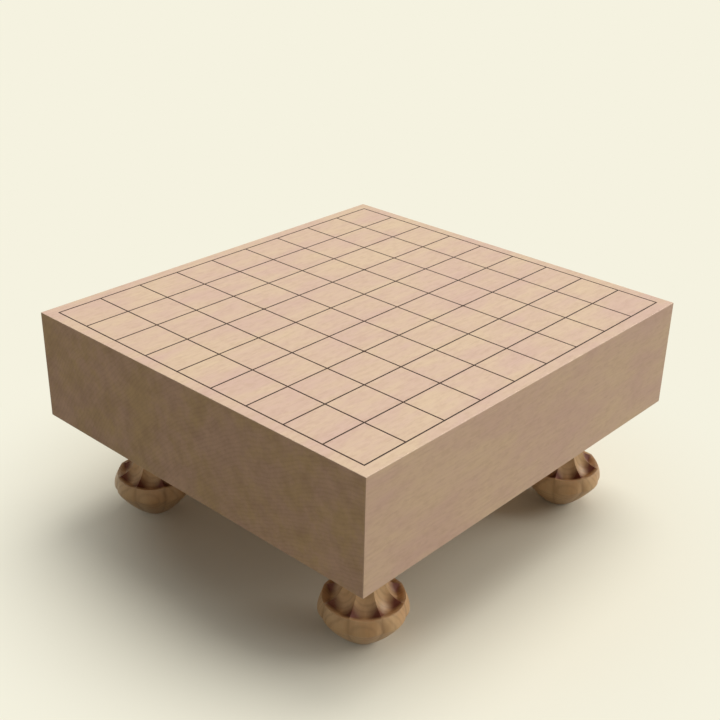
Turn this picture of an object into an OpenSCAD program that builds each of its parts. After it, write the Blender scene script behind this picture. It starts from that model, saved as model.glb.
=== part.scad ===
// Legged shogi board: a solid wood block on four carved legs that plug into its underside.
// X runs along the board and along the grain, Y across it, Z up, with the floor at Z = 0.

/* [Playing grid] */
// Cells along each side of the grid
cells = 9; // [5:1:13]
// Length of one cell, along X
cell_length = 38.4; // [30:0.1:45]
// Width of one cell, along Y
cell_width = 35.2; // [28:0.1:42]
// Width of a lacquer line
line_width = 1.3; // [0.4:0.1:2]
// Height that the lacquer stands above the wood
line_height = 0.15; // [0.1:0.05:0.5]
// Diameter of the four star points
star_diameter = 3; // [2:0.1:5]
// Cells from the edge of the grid to a star point
star_step = 3; // [1:1:4]

/* [Block] */
// Bare wood beyond the grid at each end, along X
end_margin = 9.7; // [6:0.1:30]
// Bare wood beyond the grid at each side, along Y
side_margin = 10.2; // [6:0.1:30]
// Height of the wooden block
block_height = 89.5; // [50:0.5:180]
// Flat planed along every outer edge of the block
edge_chamfer = 0.5; // [0.3:0.1:4]
// Side of the square hollow under the middle of the block
navel_side = 74; // [40:1:110]
// Depth of that hollow
navel_depth = 20; // [8:0.5:40]
// Depth of the peak in the hollow below the underside
navel_peak_gap = 8; // [5:0.5:14]

/* [Legs] */
// Height of a leg from the floor to the underside of the block
leg_height = 91; // [75:0.5:150]
// From an end of the block to a leg's axis, along X
leg_inset_x = 58; // [42:0.1:80]
// From a side of the block to a leg's axis, along Y
leg_inset_y = 50.9; // [42:0.1:80]
// Lobes carved round a leg
lobes = 8; // [6:1:10]
// Degrees from X to the middle of a lobe
lobe_turn = 0; // [0:1:45]
// Radius of the flat foot
foot_radius = 11.5; // [6:0.5:16]
// Radius of a leg at its widest
belly_radius = 33; // [30.5:0.1:34]
// Radius of the grooves between the lobes at the widest ring
groove_radius = 31.6; // [27:0.1:32]
// Height of the widest ring above the floor
belly_height = 24; // [16:0.5:26]
// Fullness of the bowl under the widest ring, 1 is a cone and 2 is round
bowl_fullness = 1.15; // [1.1:0.05:2.4]
// Rise from the widest ring to the lip in the middle of a lobe
lip_rise = 10.7; // [8:0.1:16]
// Radius of a leg at the lips of its lobes
lip_radius = 29.8; // [28.6:0.1:31]
// How far the tips between two lobes stand above the lips
tip_rise = 0.9; // [0.2:0.1:4]
// Radius of a leg at those tips
tip_radius = 30.1; // [28:0.1:31]
// Breadth of the lip before the scoop behind it begins
lip_width = 0.6; // [0.4:0.1:2]
// Depth of a scoop below its lip
scoop_depth = 2; // [1:0.1:5]
// How far behind the lip a scoop is at its deepest
scoop_fall = 5.5; // [3:0.1:8]
// Rise of the crests between the scoops, from their tips to the neck
crest_rise = 13.7; // [8:0.1:20]
// Radius of the neck on the ridges between its flutes
neck_radius = 15.5; // [14.5:0.1:18]
// Depth of the flutes of the neck
flute_depth = 1.8; // [0.5:0.1:2.2]
// Radius of the neck where it meets the block
collar_radius = 21; // [16:0.1:26]

/* [Fit of the legs] */
// Diameter of the round tenon on a leg
tenon_diameter = 24; // [16:0.5:26]
// Length of the tenon
tenon_length = 22; // [12:0.5:34]
// Bevel at the tip of the tenon
tenon_lead = 1; // [0.5:0.1:3]
// Play between the tenon and its mortise, measured on the radius
tenon_play = 0.05; // [0.02:0.01:0.1]
// Clearance between the shoulder of a leg and the underside of the block
seat_gap = 0.1; // [0.05:0.05:0.5]
// Free depth of the mortise above the tenon
mortise_end_gap = 1.5; // [0.5:0.1:5]

/* [Hidden] */

wood = [0.85, 0.74, 0.64];
leg_wood = [0.62, 0.48, 0.37];
lacquer = [0.2, 0.14, 0.11];

block_length = cells * cell_length + 2 * end_margin;
block_width = cells * cell_width + 2 * side_margin;
block_top = leg_height + block_height;
leg_x = block_length / 2 - leg_inset_x;
leg_y = block_width / 2 - leg_inset_y;
mortise_radius = tenon_diameter / 2 + tenon_play;
mortise_depth = tenon_length + mortise_end_gap;
overlap = 1;       // how far joined or cutting solids reach past each other
round_fn = 96;

half_lobe = 180 / lobes;

// Each ring of a leg is [height, radius] at the middle of a lobe, the same where two lobes meet, and
// the power by which it turns up from the one to the other
round_turn = 2;
bowl_steps = 8;
bowl_crowding = 1.5;   // above 1 the rings of the bowl lie closer together near the foot
function bowl_radius(share, wide) = foot_radius
    + (wide - foot_radius) * pow(1 - pow(1 - share, bowl_fullness), 1 / bowl_fullness);
bowl_rings = [for (i = [0:bowl_steps]) let (share = pow(i / bowl_steps, bowl_crowding),
    z = belly_height * share)
    [z, bowl_radius(share, belly_radius), z, bowl_radius(share, groove_radius), round_turn]];

// Above the widest ring each lobe draws in a little to its lip, and two lobes meet in a tip
crown_steps = 4;
lip_height = belly_height + lip_rise;
tip_height = lip_height + tip_rise;
crown_rings = [for (i = [1:crown_steps]) let (share = i / crown_steps)
    [belly_height + lip_rise * share, belly_radius - (belly_radius - lip_radius) * share * share,
     belly_height + (tip_height - belly_height) * share,
     groove_radius - (groove_radius - tip_radius) * share * share, round_turn]];

// A crest sweeps in from each tip and up to the neck, as a quarter of an astroid does
sweep_power = 1.5;
neck_foot = tip_height + crest_rise;
function swept_height(share, low) = low + (neck_foot - low) * pow(share, sweep_power);
function swept_radius(share, wide, narrow) = narrow + (wide - narrow) * pow(1 - share, sweep_power);
function crest(share) = [swept_height(share, tip_height),
                         swept_radius(share, tip_radius - lip_width / 2, neck_radius)];

// Behind each lip a scoop falls to its floor, and the floor sweeps up into a flute of the neck
wall_steps = 3;
wall_crest_share = 0.16;     // how far along the crests the floor of a scoop begins
scoop_flatness = 3.2;        // above round_turn a scoop has a flat floor and steep sides
scoop_floor = lip_height - scoop_depth;
floor_start = lip_radius - lip_width - scoop_fall;
flute_radius = neck_radius - flute_depth;
wall_rings = [for (i = [0:wall_steps]) let (share = i / wall_steps)
    [lip_height - scoop_depth * share * share * (3 - 2 * share),
     lip_radius - lip_width - scoop_fall * share,
     each crest(wall_crest_share * share), scoop_flatness]];
floor_steps = 6;
floor_rings = [for (i = [1:floor_steps]) let (share = i / floor_steps)
    [swept_height(share, scoop_floor), swept_radius(share, floor_start, flute_radius),
     each crest(wall_crest_share + (1 - wall_crest_share) * share),
     scoop_flatness + (round_turn - scoop_flatness) * share]];

neck_steps = 7;
flare_power = 2.5;     // the neck stays slim and then flares towards the block
neck_top = leg_height - seat_gap;
neck_rings = [for (i = [1:neck_steps]) let (share = i / neck_steps,
    flare = (collar_radius - neck_radius) * pow(share, flare_power),
    z = neck_foot + (neck_top - neck_foot) * share)
    [z, flute_radius + flare, z, neck_radius + flare, round_turn]];

outer_rings = concat(bowl_rings, crown_rings);
leg_rings = concat(outer_rings, wall_rings, floor_rings, neck_rings);
// Places round a lobe, as shares of the way from its middle to its edge
lobe_steps = [-1, -0.7, -0.35, 0, 0.35, 0.7];
leg_sides = lobes * len(lobe_steps);

// A lobe is a round arc in plan, through its middle and the two grooves beside it
function lobe_radius(middle, groove, a) = let (
    d = (middle * middle - groove * groove) / (2 * (middle - groove * cos(half_lobe))),
    arc = middle - d) d * cos(a) + sign(arc) * sqrt(arc * arc - pow(d * sin(a), 2));

function ring_point(k, lobe, share) = let (
    ring = leg_rings[k],
    bend = pow(abs(share), ring[4]),
    z = ring[0] + (ring[2] - ring[0]) * bend,
    r = k < len(outer_rings) ? lobe_radius(ring[1], ring[3], share * half_lobe)
                             : ring[1] + (ring[3] - ring[1]) * bend,
    a = (2 * lobe + share) * half_lobe) [r * cos(a), r * sin(a), z];

module carved_body() {
    last = len(leg_rings) - 1;
    points = [for (k = [0:last]) for (lobe = [0:lobes - 1]) for (share = lobe_steps)
        ring_point(k, lobe, share)];
    sides = [for (k = [0:last - 1]) for (i = [0:leg_sides - 1]) let (
        j = (i + 1) % leg_sides, p = k * leg_sides, q = p + leg_sides)
        each [[p + i, q + i, q + j], [p + i, q + j, p + j]]];
    foot = [[for (i = [0:leg_sides - 1]) i]];
    top = [[for (i = [leg_sides - 1:-1:0]) last * leg_sides + i]];
    polyhedron(points, concat(foot, sides, top));
}

module leg(x, y) {
    color(leg_wood) translate([x, y, 0]) rotate([0, 0, lobe_turn]) union() {
        carved_body();
        translate([0, 0, leg_height - overlap])
            cylinder(h = tenon_length + overlap - tenon_lead, d = tenon_diameter, $fn = round_fn);
        translate([0, 0, leg_height + tenon_length - tenon_lead])
            cylinder(h = tenon_lead, d1 = tenon_diameter, d2 = tenon_diameter - 2 * tenon_lead,
                     $fn = round_fn);
    }
}

// A rectangle with its four corners cut by the edge chamfer
module planed_section(a, b) {
    c = edge_chamfer;
    polygon([[c - a / 2, -b / 2], [a / 2 - c, -b / 2], [a / 2, c - b / 2], [a / 2, b / 2 - c],
             [a / 2 - c, b / 2], [c - a / 2, b / 2], [-a / 2, b / 2 - c], [-a / 2, c - b / 2]]);
}

module planed_block() {
    middle = leg_height + block_height / 2;
    intersection() {
        translate([0, 0, leg_height]) linear_extrude(block_height)
            planed_section(block_length, block_width);
        translate([0, block_width / 2, middle]) rotate([90, 0, 0]) linear_extrude(block_width)
            planed_section(block_length, block_height);
        translate([-block_length / 2, 0, middle]) rotate([90, 0, 90]) linear_extrude(block_length)
            planed_section(block_width, block_height);
    }
}

// Square hollow under the block with a four-sided peak left standing in it
module navel_hollow() {
    s = navel_side / 2;
    difference() {
        translate([-s, -s, -overlap]) cube([navel_side, navel_side, navel_depth + overlap]);
        polyhedron([[-s, -s, navel_depth + overlap], [s, -s, navel_depth + overlap],
                    [s, s, navel_depth + overlap], [-s, s, navel_depth + overlap],
                    [0, 0, navel_peak_gap]],
                   [[3, 2, 1, 0], [0, 1, 4], [1, 2, 4], [2, 3, 4], [3, 0, 4]]);
    }
}

module block() {
    color(wood) difference() {
        planed_block();
        for (x = [-leg_x, leg_x], y = [-leg_y, leg_y])
            translate([x, y, leg_height - overlap])
                cylinder(h = mortise_depth + overlap, r = mortise_radius, $fn = round_fn);
        translate([0, 0, leg_height]) navel_hollow();
    }
}

// Lines along and across the board, and the star points on four of their crossings
module lacquer_grid() {
    grid_x = cells * cell_length;
    grid_y = cells * cell_width;
    star_x = grid_x / 2 - star_step * cell_length;
    star_y = grid_y / 2 - star_step * cell_width;
    color(lacquer) translate([0, 0, block_top]) union() {
        for (i = [0:cells]) {
            translate([-(grid_x + line_width) / 2, i * cell_width - (grid_y + line_width) / 2, 0])
                cube([grid_x + line_width, line_width, line_height]);
            translate([i * cell_length - (grid_x + line_width) / 2, -(grid_y + line_width) / 2, 0])
                cube([line_width, grid_y + line_width, line_height]);
        }
        for (x = [-star_x, star_x], y = [-star_y, star_y])
            translate([x, y, 0]) cylinder(h = line_height, d = star_diameter, $fn = round_fn);
    }
}

block();
lacquer_grid();
leg(-leg_x, -leg_y);  // leg_front_left
leg(leg_x, -leg_y);  // leg_front_right
leg(-leg_x, leg_y);  // leg_back_left
leg(leg_x, leg_y);  // leg_back_right
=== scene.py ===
import bmesh
import bpy
import math
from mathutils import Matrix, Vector, noise


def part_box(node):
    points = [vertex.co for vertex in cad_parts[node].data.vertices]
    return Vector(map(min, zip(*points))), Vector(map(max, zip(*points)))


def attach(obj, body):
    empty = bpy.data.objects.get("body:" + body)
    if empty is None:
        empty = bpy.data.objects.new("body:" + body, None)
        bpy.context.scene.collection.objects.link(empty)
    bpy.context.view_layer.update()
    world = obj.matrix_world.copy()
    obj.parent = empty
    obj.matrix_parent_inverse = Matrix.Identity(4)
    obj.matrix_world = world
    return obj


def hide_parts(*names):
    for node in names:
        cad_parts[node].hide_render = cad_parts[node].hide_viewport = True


# Looks of a legged shogi board, built round its packed construction. Metres, X along the grain.
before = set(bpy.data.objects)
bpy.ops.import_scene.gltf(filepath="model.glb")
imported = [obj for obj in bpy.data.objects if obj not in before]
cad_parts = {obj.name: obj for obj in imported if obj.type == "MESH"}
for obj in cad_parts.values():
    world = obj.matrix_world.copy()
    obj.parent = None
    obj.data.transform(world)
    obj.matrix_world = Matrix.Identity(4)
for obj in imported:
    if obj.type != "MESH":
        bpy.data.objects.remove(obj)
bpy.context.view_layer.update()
blockLow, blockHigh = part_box("block")
print("frame loaded, block top at", round(blockHigh.z, 4))


class Wire:
    # A socket that sums can be written with: each operator adds one Math node
    def __init__(self, finish, socket):
        self.finish = finish
        self.socket = socket

    def __add__(self, other):
        return self.finish.math("ADD", self, other)

    def __radd__(self, other):
        return self.finish.math("ADD", other, self)

    def __sub__(self, other):
        return self.finish.math("SUBTRACT", self, other)

    def __rsub__(self, other):
        return self.finish.math("SUBTRACT", other, self)

    def __mul__(self, other):
        return self.finish.math("MULTIPLY", self, other)

    def __rmul__(self, other):
        return self.finish.math("MULTIPLY", other, self)

    def __pow__(self, other):
        return self.finish.math("POWER", self, other)

    def __abs__(self):
        return self.finish.math("ABSOLUTE", self)


class Finish:
    # The nodes of one material or of the world
    def __init__(self, owner):
        owner.use_nodes = True
        self.owner = owner
        self.tree = owner.node_tree

    def feed(self, socket, value):
        if isinstance(value, Wire):
            self.tree.links.new(value.socket, socket)
        else:
            socket.default_value = value

    def node(self, kind, settings=None, inputs=None, output=0):
        made = self.tree.nodes.new("ShaderNode" + kind)
        for key, value in (settings or {}).items():
            setattr(made, key, value)
        for key, value in (inputs or {}).items():
            self.feed(made.inputs[key], value)
        return Wire(self, made.outputs[output])

    def math(self, operation, *values):
        return self.node("Math", {"operation": operation}, dict(enumerate(values)))

    def place(self):
        return self.node("TexCoord", output="Object")

    def scaled(self, vector, scale):
        return self.node("VectorMath", {"operation": "MULTIPLY"}, {0: vector, 1: scale})

    def part(self, vector, axis):
        return self.node("SeparateXYZ", inputs={0: vector}, output=axis)

    def parts(self, vector):
        return [self.part(vector, axis) for axis in "XYZ"]

    def noise(self, vector, stretch, detail, roughness=0.55):
        return self.node("TexNoise", inputs={"Vector": self.scaled(vector, stretch), "Scale": 1,
                                             "Detail": detail, "Roughness": roughness})

    def fade(self, value, low, high):
        return self.node("MapRange", {"interpolation_type": "SMOOTHSTEP"},
                         {"Value": value, "From Min": low, "From Max": high})

    def mix(self, factor, first, second):
        return self.node("Mix", {"data_type": "RGBA"}, {0: factor, 6: first, 7: second}, 2)

    def lateWood(self, first, second, wander, tone):
        # the dark part of each growth ring, at its distance from the trunk's middle
        reach = ((first - tone["pith"][0]) ** 2 + (second - tone["pith"][1]) ** 2) ** 0.5 + wander
        ring = self.math("SINE", reach * (2 * math.pi / tone["ringStep"])) * 0.5 + 0.5
        return ring ** tone["ringSharpness"]

    def seenRay(self):
        # 1 for what the camera sees by itself, in a gloss or through glass, 0 for light that scatters
        rays = [self.node("LightPath", output="Is " + kind + " Ray")
                for kind in ("Camera", "Glossy", "Transmission")]
        return self.math("MINIMUM", rays[0] + rays[1] + rays[2], 1)

    def bump(self, height, strength, distance):
        return self.node("Bump", inputs={"Height": height, "Strength": strength, "Distance": distance})

    def surface(self, **values):
        shader = self.tree.nodes["Principled BSDF"]
        for name, value in values.items():
            self.feed(shader.inputs[name.replace("_", " ")], value)


def tint(red, green, blue):
    # A colour as a screen shows it, from 0 to 255, to the linear values that a shader takes
    def linear(value):
        value = value / 255
        return value / 12.92 if value <= 0.04045 else ((value + 0.055) / 1.055) ** 2.4
    return (linear(red), linear(green), linear(blue), 1)


# Wood of the block. A grain is a noise: its stretch along X, Y and Z, its detail and, where it isn't the
# usual one, its roughness. A fade is the two values between which a mark comes in, and a share is how
# strongly it is laid on.
boardTone = {
    "pale": tint(218, 193, 163), "pink": tint(211, 180, 164), "end": tint(209, 179, 159),
    "endOlive": tint(203, 177, 138), "endDark": tint(160, 130, 114), "streak": tint(180, 146, 124),
    "edge": tint(232, 212, 190), "fleck": tint(184, 152, 126), "pore": tint(120, 88, 70),
    "pith": (-0.21, -0.14),          # Y and Z of the trunk's middle, outside the block
    "ringStep": 0.0031, "ringSharpness": 3, "ringWander": 0.022, "edgeWidth": 0.0014,
    "wanderGrain": ((1.6, 14, 14), 3), "lateGrain": ((3, 40, 40), 2),
    "fibreGrain": ((14, 620, 620), 3, 0.6), "poreGrain": ((60, 1500, 1500), 1),
    "cloudGrain": ((12, 30, 30), 5, 0.68), "fleckGrain": ((130, 330, 330), 3, 0.6),
    "blotchGrain": ((9, 70, 80), 6, 0.68),
    "pinkFade": (0.3, 0.7), "oliveFade": (0.35, 0.65), "fleckFade": (0.42, 0.72), "poreFade": (0.6, 0.72),
    "blotchFade": (0.25, 0.75),
    "endFade": (0.6, 0.8),           # how far a face looks along X, from not at all to wholly an end
    "fleckShare": 0.27, "lateShare": 0.12, "fibreShare": 0.2, "fibreFrom": 0.3, "blotchShare": 0.5,
    "endLateShare": 0.22, "poreShare": 0.08, "wornShare": 0.2, "wornLeast": 0.35,
    "rough": 0.5, "fibreRough": 0.16, "endRough": 0.14, "wornPolish": 0.08, "gloss": 0.35,
    "fibreRelief": 0.5, "lateRelief": 0.35, "poreRelief": 0.6,
    "bump": (0.25, 0.00012),         # its strength, and its height in metres
}


def boardWood():
    tone = boardTone
    finish = Finish(bpy.data.materials.new("boardWood"))
    place = finish.place()
    x, y, z = finish.parts(place)

    # growth rings: lines along X on the faces, arcs on the ends
    wander = (finish.noise(place, *tone["wanderGrain"]) - 0.5) * tone["ringWander"]
    lateWood = finish.lateWood(y, z, wander, tone) * finish.noise(place, *tone["lateGrain"])

    # fibres run along X, and show as fine specks where they are cut across
    fibre = finish.noise(place, *tone["fibreGrain"])
    pore = finish.fade(finish.noise(place, *tone["poreGrain"]), *tone["poreFade"])
    cloud = finish.noise(place, *tone["cloudGrain"])
    fleck = finish.noise(place, *tone["fleckGrain"])
    blotch = finish.noise(place, *tone["blotchGrain"])

    normal = finish.node("TexCoord", output="Normal")
    endFace = finish.fade(abs(finish.part(normal, "X")), *tone["endFade"])

    # how near a point is to an edge: the middle one of its distances to the three pairs of faces
    middle = (blockLow + blockHigh) / 2
    half = (blockHigh - blockLow) / 2
    a = half.x - abs(x - middle.x)
    b = half.y - abs(y - middle.y)
    c = half.z - abs(z - middle.z)
    lesser = finish.math("MINIMUM", a, b)
    greater = finish.math("MAXIMUM", a, b)
    toEdge = finish.math("MAXIMUM", lesser, finish.math("MINIMUM", greater, c))
    wear = tone["wornLeast"] + (1 - tone["wornLeast"]) * fibre
    worn = (1 - finish.fade(toEdge, 0, tone["edgeWidth"])) * wear

    colour = finish.mix(finish.fade(cloud, *tone["pinkFade"]), tone["pale"], tone["pink"])
    colour = finish.mix(finish.fade(fleck, *tone["fleckFade"]) * tone["fleckShare"], colour, tone["fleck"])
    streak = lateWood * tone["lateShare"] + (fibre - tone["fibreFrom"]) * tone["fibreShare"]
    colour = finish.mix(streak, colour, tone["streak"])
    endColour = finish.mix(finish.fade(cloud, *tone["oliveFade"]), tone["end"], tone["endOlive"])
    dark = finish.fade(blotch, *tone["blotchFade"]) * tone["blotchShare"] + lateWood * tone["endLateShare"]
    endColour = finish.mix(dark, endColour, tone["endDark"])
    colour = finish.mix(endFace, colour, endColour)
    colour = finish.mix(pore * tone["poreShare"], colour, tone["pore"])
    colour = finish.mix(worn * tone["wornShare"], colour, tone["edge"])

    rough = tone["rough"] + tone["fibreRough"] * fibre + tone["endRough"] * endFace
    rough = rough - tone["wornPolish"] * worn
    height = fibre * tone["fibreRelief"] + lateWood * tone["lateRelief"] - pore * tone["poreRelief"]
    finish.surface(Base_Color=colour, Roughness=rough, Normal=finish.bump(height, *tone["bump"]),
                   Specular_IOR_Level=tone["gloss"])
    return finish.owner


# Wood of the legs: warmer, with the grain upright
legTone = {
    "base": tint(226, 192, 146), "warm": tint(212, 170, 122), "dark": tint(140, 96, 70),
    # the first colour on the next line is painted shade, the dark red-brown of the pockets behind the lips
    # and of the grooves between lobes
    "pocketShade": tint(108, 52, 34), "bare": tint(222, 196, 164), "arris": tint(220, 192, 162),
    "pith": (0.044, 0.031),          # X and Y of the trunk's middle, from the leg's own axis
    "ringStep": 0.0028, "ringSharpness": 3, "ringWander": 0.006,
    "wanderGrain": ((26, 26, 8), 2), "fibreGrain": ((620, 620, 22), 3, 0.6),
    "cloudGrain": ((40, 40, 22), 3), "warmFade": (0.35, 0.65),
    # heights, from the block's underside, between which the finish gives way to the tenon's bare wood
    "bareFade": (-0.0006, -0.0001),
    "lateShare": 0.2, "fibreShare": 0.3, "fibreFrom": 0.4, "bareShare": 0.4,
    "shadeLeast": 0.85, "shadeCloud": 0.3, "arrisLeast": 0.1, "arrisFibre": 0.3,
    "rough": 0.3, "fibreRough": 0.16, "hollowRough": 0.25, "tenonRough": 0.25, "gloss": 0.4,
    "fibreRelief": 0.5, "lateRelief": 0.4, "bump": (0.22, 0.00015),
}


def legWood(name, axis):
    tone = legTone
    finish = Finish(bpy.data.materials.new(name))
    place = finish.node("VectorMath", {"operation": "SUBTRACT"}, {0: finish.place(), 1: axis})
    x, y, z = finish.parts(place)
    wander = (finish.noise(place, *tone["wanderGrain"]) - 0.5) * tone["ringWander"]
    lateWood = finish.lateWood(x, y, wander, tone)
    fibre = finish.noise(place, *tone["fibreGrain"])
    cloud = finish.noise(place, *tone["cloudGrain"])
    hollow = finish.node("Attribute", {"attribute_name": "hollow"}, output="Fac")
    arris = finish.node("Attribute", {"attribute_name": "arris"}, output="Fac")
    bareStart, bareFull = tone["bareFade"]
    tenon = finish.fade(z, blockLow.z + bareStart, blockLow.z + bareFull)

    colour = finish.mix(finish.fade(cloud, *tone["warmFade"]), tone["base"], tone["warm"])
    streak = lateWood * tone["lateShare"] + (fibre - tone["fibreFrom"]) * tone["fibreShare"]
    colour = finish.mix(streak, colour, tone["dark"])
    # painted shade: the pockets behind the lips and the grooves between lobes darkened towards a deep
    # red-brown
    colour = finish.mix(hollow * (tone["shadeLeast"] + tone["shadeCloud"] * cloud), colour, tone["pocketShade"])
    colour = finish.mix(arris * (tone["arrisLeast"] + tone["arrisFibre"] * fibre), colour, tone["arris"])
    colour = finish.mix(tenon, colour, finish.mix(fibre * tone["bareShare"], tone["bare"], tone["base"]))

    rough = tone["rough"] + tone["fibreRough"] * fibre
    rough = rough + tone["hollowRough"] * hollow + tone["tenonRough"] * tenon
    height = fibre * tone["fibreRelief"] + lateWood * tone["lateRelief"]
    finish.surface(Base_Color=colour, Roughness=rough, Normal=finish.bump(height, *tone["bump"]),
                   Specular_IOR_Level=tone["gloss"])
    return finish.owner


# Lacquer of the grid: deep where it lies thick, thin where it flowed away
lacquerTone = {
    "deep": tint(44, 26, 16), "thin": tint(74, 47, 31),
    "flowGrain": ((160, 160, 160), 3), "speckGrain": ((900, 900, 900), 2),
    "thinFade": (0.4, 0.68), "speckFade": (0.56, 0.7), "thinShare": 0.5, "speckShare": 0.2,
    "rough": 0.36, "flowRough": 0.2, "speckRough": 0.2, "gloss": 0.2,
    "speckRelief": 0.3, "bump": (0.2, 0.00004),
}


def lineLacquer():
    tone = lacquerTone
    finish = Finish(bpy.data.materials.new("lineLacquer"))
    place = finish.place()
    flow = finish.noise(place, *tone["flowGrain"])
    speck = finish.fade(finish.noise(place, *tone["speckGrain"]), *tone["speckFade"])
    thin = finish.fade(flow, *tone["thinFade"]) * tone["thinShare"] + speck * tone["speckShare"]
    rough = tone["rough"] + tone["flowRough"] * flow + tone["speckRough"] * speck
    height = flow + speck * tone["speckRelief"]
    finish.surface(Base_Color=finish.mix(thin, tone["deep"], tone["thin"]), Roughness=rough,
                   Normal=finish.bump(height, *tone["bump"]), Specular_IOR_Level=tone["gloss"])
    return finish.owner


def newPiece(name, mesh, material, body, slot, *nodes):
    piece = bpy.data.objects.new(name, mesh)
    bpy.context.scene.collection.objects.link(piece)
    mesh.materials.append(material)
    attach(piece, body)
    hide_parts(*nodes)
    return piece


def meshOf(shape, name):
    bmesh.ops.recalc_face_normals(shape, faces=shape.faces)
    mesh = bpy.data.meshes.new(name)
    shape.to_mesh(mesh)
    shape.free()
    return mesh


# The block: a planed slab with four mortises and a square hollow under its middle
blockCut = {
    "edge": 0.0005, "edgeSteps": 3,
    "mortiseRadius": 0.01205, "mortiseDepth": 0.0235, "mortiseSides": 96,
    "navelSide": 0.074, "navelDepth": 0.020, "peakGap": 0.008,
    "reach": 0.001,                  # how far a cutter stands out of the wood
    "sharpAngle": 50,                # degrees from which an edge is shaded sharp
}


def legAxis(node):
    low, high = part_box(node)
    return Vector(((low.x + high.x) / 2, (low.y + high.y) / 2, 0))


def slab():
    shape = bmesh.new()
    bmesh.ops.create_cube(shape, size=1)
    size = blockHigh - blockLow
    bmesh.ops.scale(shape, vec=size, verts=shape.verts)
    bmesh.ops.translate(shape, vec=(blockLow + blockHigh) / 2, verts=shape.verts)
    bmesh.ops.bevel(shape, geom=shape.edges[:], offset=blockCut["edge"], offset_type="OFFSET",
                    segments=blockCut["edgeSteps"], profile=0.5, affect="EDGES")
    return meshOf(shape, "block_wood")


def cutter(shape, name):
    piece = bpy.data.objects.new(name, meshOf(shape, name))
    bpy.context.scene.collection.objects.link(piece)
    return piece


def mortiseCutter(axis):
    depth = blockCut["mortiseDepth"] + blockCut["reach"]
    shape = bmesh.new()
    bmesh.ops.create_cone(shape, cap_ends=True, segments=blockCut["mortiseSides"],
                          radius1=blockCut["mortiseRadius"], radius2=blockCut["mortiseRadius"], depth=depth)
    middle = Vector((axis.x, axis.y, blockLow.z - blockCut["reach"] + depth / 2))
    bmesh.ops.translate(shape, vec=middle, verts=shape.verts)
    return cutter(shape, "mortiseCutter")


def navelCutter():
    # a box whose roof is pushed down into a four-sided peak
    side = blockCut["navelSide"] / 2
    low = blockLow.z - blockCut["reach"]
    roof = blockLow.z + blockCut["navelDepth"]
    corners = [(-side, -side), (side, -side), (side, side), (-side, side)]
    shape = bmesh.new()
    lower = [shape.verts.new((px, py, low)) for px, py in corners]
    upper = [shape.verts.new((px, py, roof)) for px, py in corners]
    peak = shape.verts.new((0, 0, blockLow.z + blockCut["peakGap"]))
    shape.faces.new(lower[::-1])
    for i in range(4):
        j = (i + 1) % 4
        shape.faces.new((lower[i], lower[j], upper[j], upper[i]))
        shape.faces.new((upper[i], upper[j], peak))
    return cutter(shape, "navelCutter")


def carveBlock(piece, cutters):
    for tool in cutters:
        cut = piece.modifiers.new(tool.name, "BOOLEAN")
        cut.object = tool
        cut.operation = "DIFFERENCE"
        cut.solver = "EXACT"
    bpy.context.view_layer.update()
    carved = bpy.data.meshes.new_from_object(piece.evaluated_get(bpy.context.evaluated_depsgraph_get()))
    piece.modifiers.clear()
    piece.data = carved
    for tool in cutters:
        bpy.data.objects.remove(tool)


legNodes = ["leg_front_left", "leg_front_right", "leg_back_left", "leg_back_right"]
block = newPiece("block_wood", slab(), boardWood(), "board", "board_wood", "block")
carveBlock(block, [mortiseCutter(legAxis(node)) for node in legNodes] + [navelCutter()])
block.data.shade_smooth()
block.data.set_sharp_from_angle(angle=math.radians(blockCut["sharpAngle"]))
block.modifiers.new("shading", "WEIGHTED_NORMAL").keep_sharp = True
print("block carved,", len(block.data.polygons), "faces")


# Raised lacquer lines: a rounded section, a little uneven along each line
lineCut = {
    "cells": 9, "width": 0.0013, "across": 6, "along": 6,
    "flatness": 4,                   # the section's power: 2 is round, more is flatter on top
    "uneven": 0.08,                  # the most that a line narrows, as a share of its width
    "unevenStep": 0.012,             # metres along a line over which its width changes
    "unevenApart": 90,               # how far the noise moves on, for each metre between two lines
    "unevenTurn": 1,                 # metres that set the lines along X apart from those along Y
    "starDiameter": 0.0030, "starStep": 3, "starRings": 5, "starSides": 32,
}
lineLow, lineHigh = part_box("lacquer_grid")
lineRise = lineHigh.z - lineLow.z


def lineStations(low, high):
    # places along one side of the grid: across each line, and then on to the next line
    step = (high - low - lineCut["width"]) / lineCut["cells"]
    stations = []
    for i in range(lineCut["cells"] + 1):
        middle = low + lineCut["width"] / 2 + i * step
        stations += [(middle, 2 * k / lineCut["across"] - 1) for k in range(lineCut["across"] + 1)]
        if i < lineCut["cells"]:
            gap = step - lineCut["width"]
            stations += [(middle + lineCut["width"] / 2 + gap * k / lineCut["along"], None)
                         for k in range(1, lineCut["along"])]
    return stations


def lineWidthAt(line, along):
    # noise from -1 to 1 takes the line from its full width to its narrowest
    uneven = noise.noise(Vector((line * lineCut["unevenApart"], along / lineCut["unevenStep"], 0)))
    return lineCut["width"] * (1 - lineCut["uneven"] * (0.5 + 0.5 * uneven))


def dome(share):
    return 0 if share is None else (1 - share ** lineCut["flatness"]) ** 0.5


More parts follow.
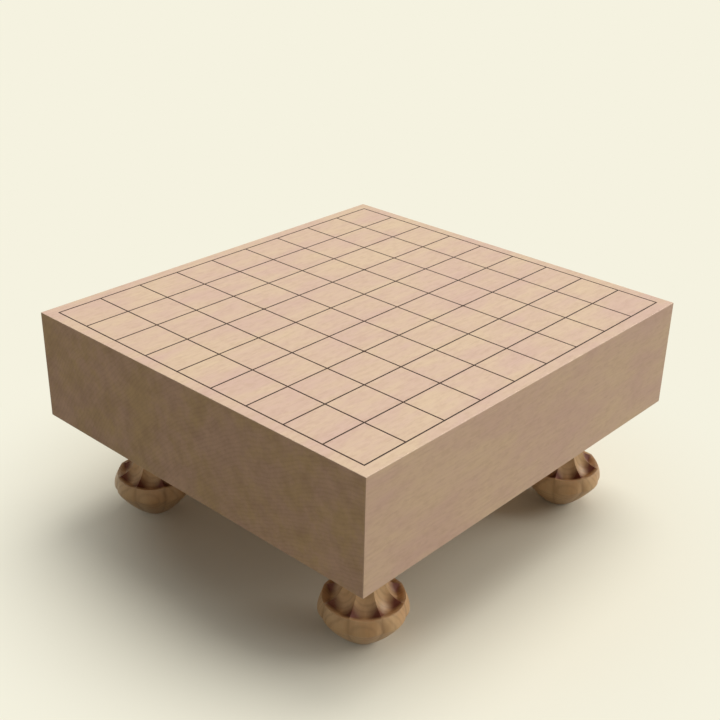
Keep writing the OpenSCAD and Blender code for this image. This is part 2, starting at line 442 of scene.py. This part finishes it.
def lacquerLines():
    xs = lineStations(lineLow.x, lineHigh.x)
    ys = lineStations(lineLow.y, lineHigh.y)
    shape = bmesh.new()
    points = {}

    def inLine(stations, k):
        return stations[k][1] is not None and stations[k + 1][1] is not None

    def quadThere(i, j):
        inside = 0 <= i < len(xs) - 1 and 0 <= j < len(ys) - 1
        return inside and (inLine(xs, i) or inLine(ys, j))

    def point(i, j, under):
        # the rounded top and the flat underside share the points along the rim
        rim = not all(quadThere(i - di, j - dj) for di in (0, 1) for dj in (0, 1))
        key = (i, j, under and not rim)
        if key not in points:
            (px, u), (py, v) = xs[i], ys[j]
            x = px + (0 if u is None else u * lineWidthAt(px, py) / 2)
            y = py + (0 if v is None else v * lineWidthAt(py + lineCut["unevenTurn"], px) / 2)
            z = lineLow.z if rim or under else lineLow.z + lineRise * max(dome(u), dome(v))
            points[key] = shape.verts.new((x, y, z))
        return points[key]

    for i in range(len(xs) - 1):
        for j in range(len(ys) - 1):
            if quadThere(i, j):
                ring = [(i, j), (i + 1, j), (i + 1, j + 1), (i, j + 1)]
                shape.faces.new([point(a, b, False) for a, b in ring])
                shape.faces.new([point(a, b, True) for a, b in ring[::-1]])
    return meshOf(shape, "lacquer_lines")


def starPoints():
    cells, step = lineCut["cells"], lineCut["starStep"]
    offX = (lineHigh.x - lineLow.x - lineCut["width"]) * (0.5 - step / cells)
    offY = (lineHigh.y - lineLow.y - lineCut["width"]) * (0.5 - step / cells)
    sides, rings = lineCut["starSides"], lineCut["starRings"]
    shape = bmesh.new()
    for cx in (-offX, offX):
        for cy in (-offY, offY):
            loops = []
            for k in range(rings):
                share = 1 - k / rings
                radius = lineCut["starDiameter"] / 2 * share
                loops.append([shape.verts.new((cx + radius * math.cos(2 * math.pi * s / sides),
                                               cy + radius * math.sin(2 * math.pi * s / sides),
                                               lineLow.z + lineRise * dome(share))) for s in range(sides)])
            top = shape.verts.new((cx, cy, lineHigh.z))
            shape.faces.new(loops[0][::-1])
            for s in range(sides):
                t = (s + 1) % sides
                for inner, outer in zip(loops[1:], loops):
                    shape.faces.new((outer[s], outer[t], inner[t], inner[s]))
                shape.faces.new((loops[-1][s], loops[-1][t], top))
    return meshOf(shape, "star_points")


lacquer = lineLacquer()
for name, mesh in (("lacquer_lines", lacquerLines()), ("star_points", starPoints())):
    lacquerPiece = newPiece(name, mesh, lacquer, "board", "line_lacquer", "lacquer_grid")
    lacquerPiece.data.shade_smooth()
print("lacquer laid")


# A leg: an eight-lobed bulb, a scoop behind the lip of each lobe, and crests that sweep up to the neck
legCut = {
    "lobes": 8, "footRadius": 0.0115, "bellyRadius": 0.0330, "grooveRadius": 0.0316, "bellyHeight": 0.0240,
    "fullness": 1.15, "lipRise": 0.0107, "lipRadius": 0.0298, "tipRise": 0.0009, "tipRadius": 0.0301,
    "lipWidth": 0.0006, "scoopDepth": 0.0020, "scoopFall": 0.0055, "scoopFlatness": 3.2, "crestRise": 0.0137,
    "crestSweep": 1.5, "crestStart": 0.16, "neckRadius": 0.0155, "fluteDepth": 0.0018,
    "collarRadius": 0.021, "flarePower": 2.5, "seatGap": 0.0001, "tenonRadius": 0.012, "tenonLead": 0.001,
    "bowlSteps": 16, "crownSteps": 8, "wallSteps": 5, "floorSteps": 12, "neckSteps": 12, "lobeSteps": 14,
    "bowlBias": 1.5,                 # crowds the rings of the bowl towards the foot
    "crownCurve": 2,                 # the power by which the crown leans in to the lip
    "lobeTurn": 2,                   # the power by which a ring turns from the middle of a lobe to its edge
    "sharpAngle": 18,                # degrees from which an edge is shaded sharp
    # unevenness that the carving knife leaves, its noise round and up the leg, the height over the foot
    # where it is full, and the step in the noise from leg to leg
    "knife": 0.00012, "knifeRound": 3, "knifeUp": 160, "knifeFull": 0.004, "knifeStep": 7.3,
    # the painted shade of a pocket: how far along the floor of a scoop it reaches, its strength, its share
    # at the middle of a lobe, and the power by which it grows towards the tips
    "shadeReach": 0.55, "shadeGain": 1.6, "shadeMiddle": 0.12, "shadeTurn": 1.2,
    # the painted shade of the grooves between lobes: how narrow it is, its strength, and the height where it
    # is full
    "grooveNarrow": 8, "grooveShade": 0.3, "grooveFull": 0.012,
    # the worn arris of a lip: how many rings it takes, and how much it dims towards the tips
    "arrisRings": 1.6, "arrisDim": 0.3,
}


def legRings():
    # each ring is (height, radius) at the middle of a lobe, the same where two lobes meet, the power by
    # which it turns from one to the other, and how much of the pocket's painted shade it takes
    cut = legCut
    turn = cut["lobeTurn"]
    rings = []

    def bowl(share, wide):
        rise = (1 - (1 - share) ** cut["fullness"]) ** (1 / cut["fullness"])
        return cut["footRadius"] + (wide - cut["footRadius"]) * rise

    for i in range(cut["bowlSteps"] + 1):
        share = (i / cut["bowlSteps"]) ** cut["bowlBias"]
        z = cut["bellyHeight"] * share
        rings.append((z, bowl(share, cut["bellyRadius"]), z, bowl(share, cut["grooveRadius"]), turn, 0))
    lip = cut["bellyHeight"] + cut["lipRise"]
    tip = lip + cut["tipRise"]
    for i in range(1, cut["crownSteps"] + 1):
        share = i / cut["crownSteps"]
        lean = share ** cut["crownCurve"]
        rings.append((cut["bellyHeight"] + cut["lipRise"] * share,
                      cut["bellyRadius"] - (cut["bellyRadius"] - cut["lipRadius"]) * lean,
                      cut["bellyHeight"] + (tip - cut["bellyHeight"]) * share,
                      cut["grooveRadius"] - (cut["grooveRadius"] - cut["tipRadius"]) * lean, turn, 0))

    neckFoot = tip + cut["crestRise"]
    flute = cut["neckRadius"] - cut["fluteDepth"]
    floor = lip - cut["scoopDepth"]
    inner = cut["lipRadius"] - cut["lipWidth"]

    def sweep(share, low, wide, narrow):
        return (low + (neckFoot - low) * share ** cut["crestSweep"],
                narrow + (wide - narrow) * (1 - share) ** cut["crestSweep"])

    def crest(share):
        return sweep(share, tip, cut["tipRadius"] - cut["lipWidth"] / 2, cut["neckRadius"])

    for i in range(cut["wallSteps"] + 1):
        share = i / cut["wallSteps"]
        rings.append((lip - cut["scoopDepth"] * share ** 2 * (3 - 2 * share),
                      inner - cut["scoopFall"] * share,
                      *crest(cut["crestStart"] * share), cut["scoopFlatness"], share))
    for i in range(1, cut["floorSteps"] + 1):
        share = i / cut["floorSteps"]
        rings.append((*sweep(share, floor, inner - cut["scoopFall"], flute),
                      *crest(cut["crestStart"] + (1 - cut["crestStart"]) * share),
                      cut["scoopFlatness"] + (turn - cut["scoopFlatness"]) * share,
                      max(1 - share / cut["shadeReach"], 0)))
    top = blockLow.z - cut["seatGap"]
    for i in range(1, cut["neckSteps"] + 1):
        share = i / cut["neckSteps"]
        flare = (cut["collarRadius"] - cut["neckRadius"]) * share ** cut["flarePower"]
        z = neckFoot + (top - neckFoot) * share
        rings.append((z, flute + flare, z, cut["neckRadius"] + flare, turn, 0))
    return rings


def lobeRadius(middle, groove, angle):
    # a lobe is a round arc in plan, through its middle and the two grooves beside it
    half = math.pi / legCut["lobes"]
    offset = (middle ** 2 - groove ** 2) / (2 * (middle - groove * math.cos(half)))
    return offset * math.cos(angle) + ((middle - offset) ** 2 - (offset * math.sin(angle)) ** 2) ** 0.5


def knifeMark(angle, z, seed):
    across = legCut["knifeRound"]
    mark = noise.noise(Vector((math.cos(angle) * across + seed, math.sin(angle) * across,
                               z * legCut["knifeUp"])))
    return legCut["knife"] * mark * min(1, z / legCut["knifeFull"])


def carvedLeg(node, axis, seed):
    cut = legCut
    half = math.pi / cut["lobes"]
    shares = [2 * k / cut["lobeSteps"] - 1 for k in range(cut["lobeSteps"])]
    shape = bmesh.new()
    # the hollow attribute carries painted shade for the pockets and the grooves
    hollow = shape.verts.layers.float.new("hollow")
    arris = shape.verts.layers.float.new("arris")
    lipRing = cut["bowlSteps"] + cut["crownSteps"]
    loops = []
    for level, (midZ, midR, edgeZ, edgeR, turn, pocketShade) in enumerate(legRings()):
        outside = level <= lipRing
        lipShare = max(0, 1 - abs(level - lipRing - 0.5) / cut["arrisRings"])
        loop = []
        for lobe in range(cut["lobes"]):
            for share in shares:
                bend = abs(share) ** turn
                z = midZ + (edgeZ - midZ) * bend
                r = lobeRadius(midR, edgeR, share * half) if outside else midR + (edgeR - midR) * bend
                angle = (2 * lobe + share) * half
                r += knifeMark(angle, z, seed)
                vert = shape.verts.new((axis.x + r * math.cos(angle), axis.y + r * math.sin(angle), z))
                # painted shade: dark in the pockets, most towards the tips of each lobe, and narrow dark
                # lines in the grooves between lobes
                groove = abs(share) ** cut["grooveNarrow"] if outside else 0
                tips = cut["shadeMiddle"] + (1 - cut["shadeMiddle"]) * abs(share) ** cut["shadeTurn"]
                pocket = min(1, cut["shadeGain"] * pocketShade * tips)
                vert[hollow] = max(pocket, cut["grooveShade"] * groove * min(1, z / cut["grooveFull"]))
                vert[arris] = lipShare * (1 - cut["arrisDim"] * abs(share))
                loop.append(vert)
        loops.append(loop)
    # shoulder, tenon and the bevel at its tip
    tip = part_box(node)[1].z
    radius = cut["tenonRadius"]
    count = len(loops[0])
    angles = [2 * math.pi * k / count - half for k in range(count)]
    for z, r in ((blockLow.z - cut["seatGap"], radius), (tip - cut["tenonLead"], radius),
                 (tip, radius - cut["tenonLead"])):
        loops.append([shape.verts.new((axis.x + r * math.cos(angle), axis.y + r * math.sin(angle), z))
                      for angle in angles])
    shape.faces.new(loops[0][::-1])
    shape.faces.new(loops[-1])
    for lower, upper in zip(loops, loops[1:]):
        for k in range(count):
            n = (k + 1) % count
            shape.faces.new((lower[k], lower[n], upper[n], upper[k]))
    return meshOf(shape, node + "_carved")


for turn, node in enumerate(legNodes):
    axis = legAxis(node)
    leg = newPiece(node + "_carved", carvedLeg(node, axis, turn * legCut["knifeStep"]),
                   legWood(node + "Wood", axis), node, "leg_wood", node)
    leg.data.shade_smooth()
    leg.data.set_sharp_from_angle(angle=math.radians(legCut["sharpAngle"]))
print("legs carved")


# Floor, lights and camera
stageTone = {
    "sky": tint(245, 242, 224), "floor": tint(232, 228, 210),
    "thrown": tint(162, 150, 128),   # the floor's colour in the light that it throws back
    "near": 0.15, "far": 0.38,       # metres from the middle between which the floor turns to sky
    "size": 14,                      # metres across
}


def floorFinish():
    finish = Finish(bpy.data.materials.new("floorFinish"))
    place = finish.place()
    distance = finish.node("VectorMath", {"operation": "LENGTH"}, {0: place}, "Value")
    seen = finish.seenRay()
    glow = finish.node("Emission", inputs={"Color": stageTone["sky"]})
    colour = finish.mix(seen, stageTone["thrown"], stageTone["floor"])
    matt = finish.node("BsdfDiffuse", inputs={"Color": colour})
    far = finish.fade(distance, stageTone["near"], stageTone["far"]) * seen
    both = finish.node("MixShader", inputs={0: far, 1: matt, 2: glow})
    finish.feed(finish.tree.nodes["Material Output"].inputs["Surface"], both)
    return finish.owner


floorShape = bmesh.new()
bmesh.ops.create_grid(floorShape, x_segments=2, y_segments=2, size=stageTone["size"] / 2)
floorMesh = bpy.data.meshes.new("floor")
floorShape.to_mesh(floorMesh)
floorShape.free()
floorPiece = bpy.data.objects.new("floor", floorMesh)
bpy.context.scene.collection.objects.link(floorPiece)
floorMesh.materials.append(floorFinish())

lamps = {
    "key": {"turn": (21, 0, 92), "strength": 2.1, "spread": 40, "colour": (1, 0.985, 0.96)},
    "side": {"turn": (62, 0, 55), "strength": 1.5, "spread": 40, "colour": (1, 0.98, 0.95)},
}
ambient = {"strength": 0.22, "colour": (1, 0.96, 0.92, 1)}

for name, lamp in lamps.items():
    light = bpy.data.lights.new(name, "SUN")
    light.energy = lamp["strength"]
    light.angle = math.radians(lamp["spread"])
    light.color = lamp["colour"]
    holder = bpy.data.objects.new(name, light)
    holder.rotation_euler = [math.radians(a) for a in lamp["turn"]]
    bpy.context.scene.collection.objects.link(holder)

world = bpy.data.worlds.new("sky")
bpy.context.scene.world = world
sky = Finish(world)
seenBy = sky.seenRay()
background = world.node_tree.nodes["Background"]
sky.feed(background.inputs["Color"], sky.mix(seenBy, ambient["colour"], stageTone["sky"]))
sky.feed(background.inputs["Strength"], ambient["strength"] + seenBy * (1 - ambient["strength"]))

# the camera's place is from the middle of the block's top
cameraSet = {"place": (-0.61941, -0.55707, 0.36892), "turn": (63.5144, -1.0867, -47.3269),
             "lens": 58.178, "sensor": 36}
cameraData = bpy.data.cameras.new("camera")
cameraData.lens = cameraSet["lens"]
cameraData.sensor_width = cameraSet["sensor"]
camera = bpy.data.objects.new("camera", cameraData)
camera.location = Vector(cameraSet["place"]) + Vector((0, 0, blockHigh.z))
camera.rotation_euler = [math.radians(a) for a in cameraSet["turn"]]
bpy.context.scene.collection.objects.link(camera)
bpy.context.scene.camera = camera
bpy.context.scene.view_settings.view_transform = "Standard"
print("stage set")
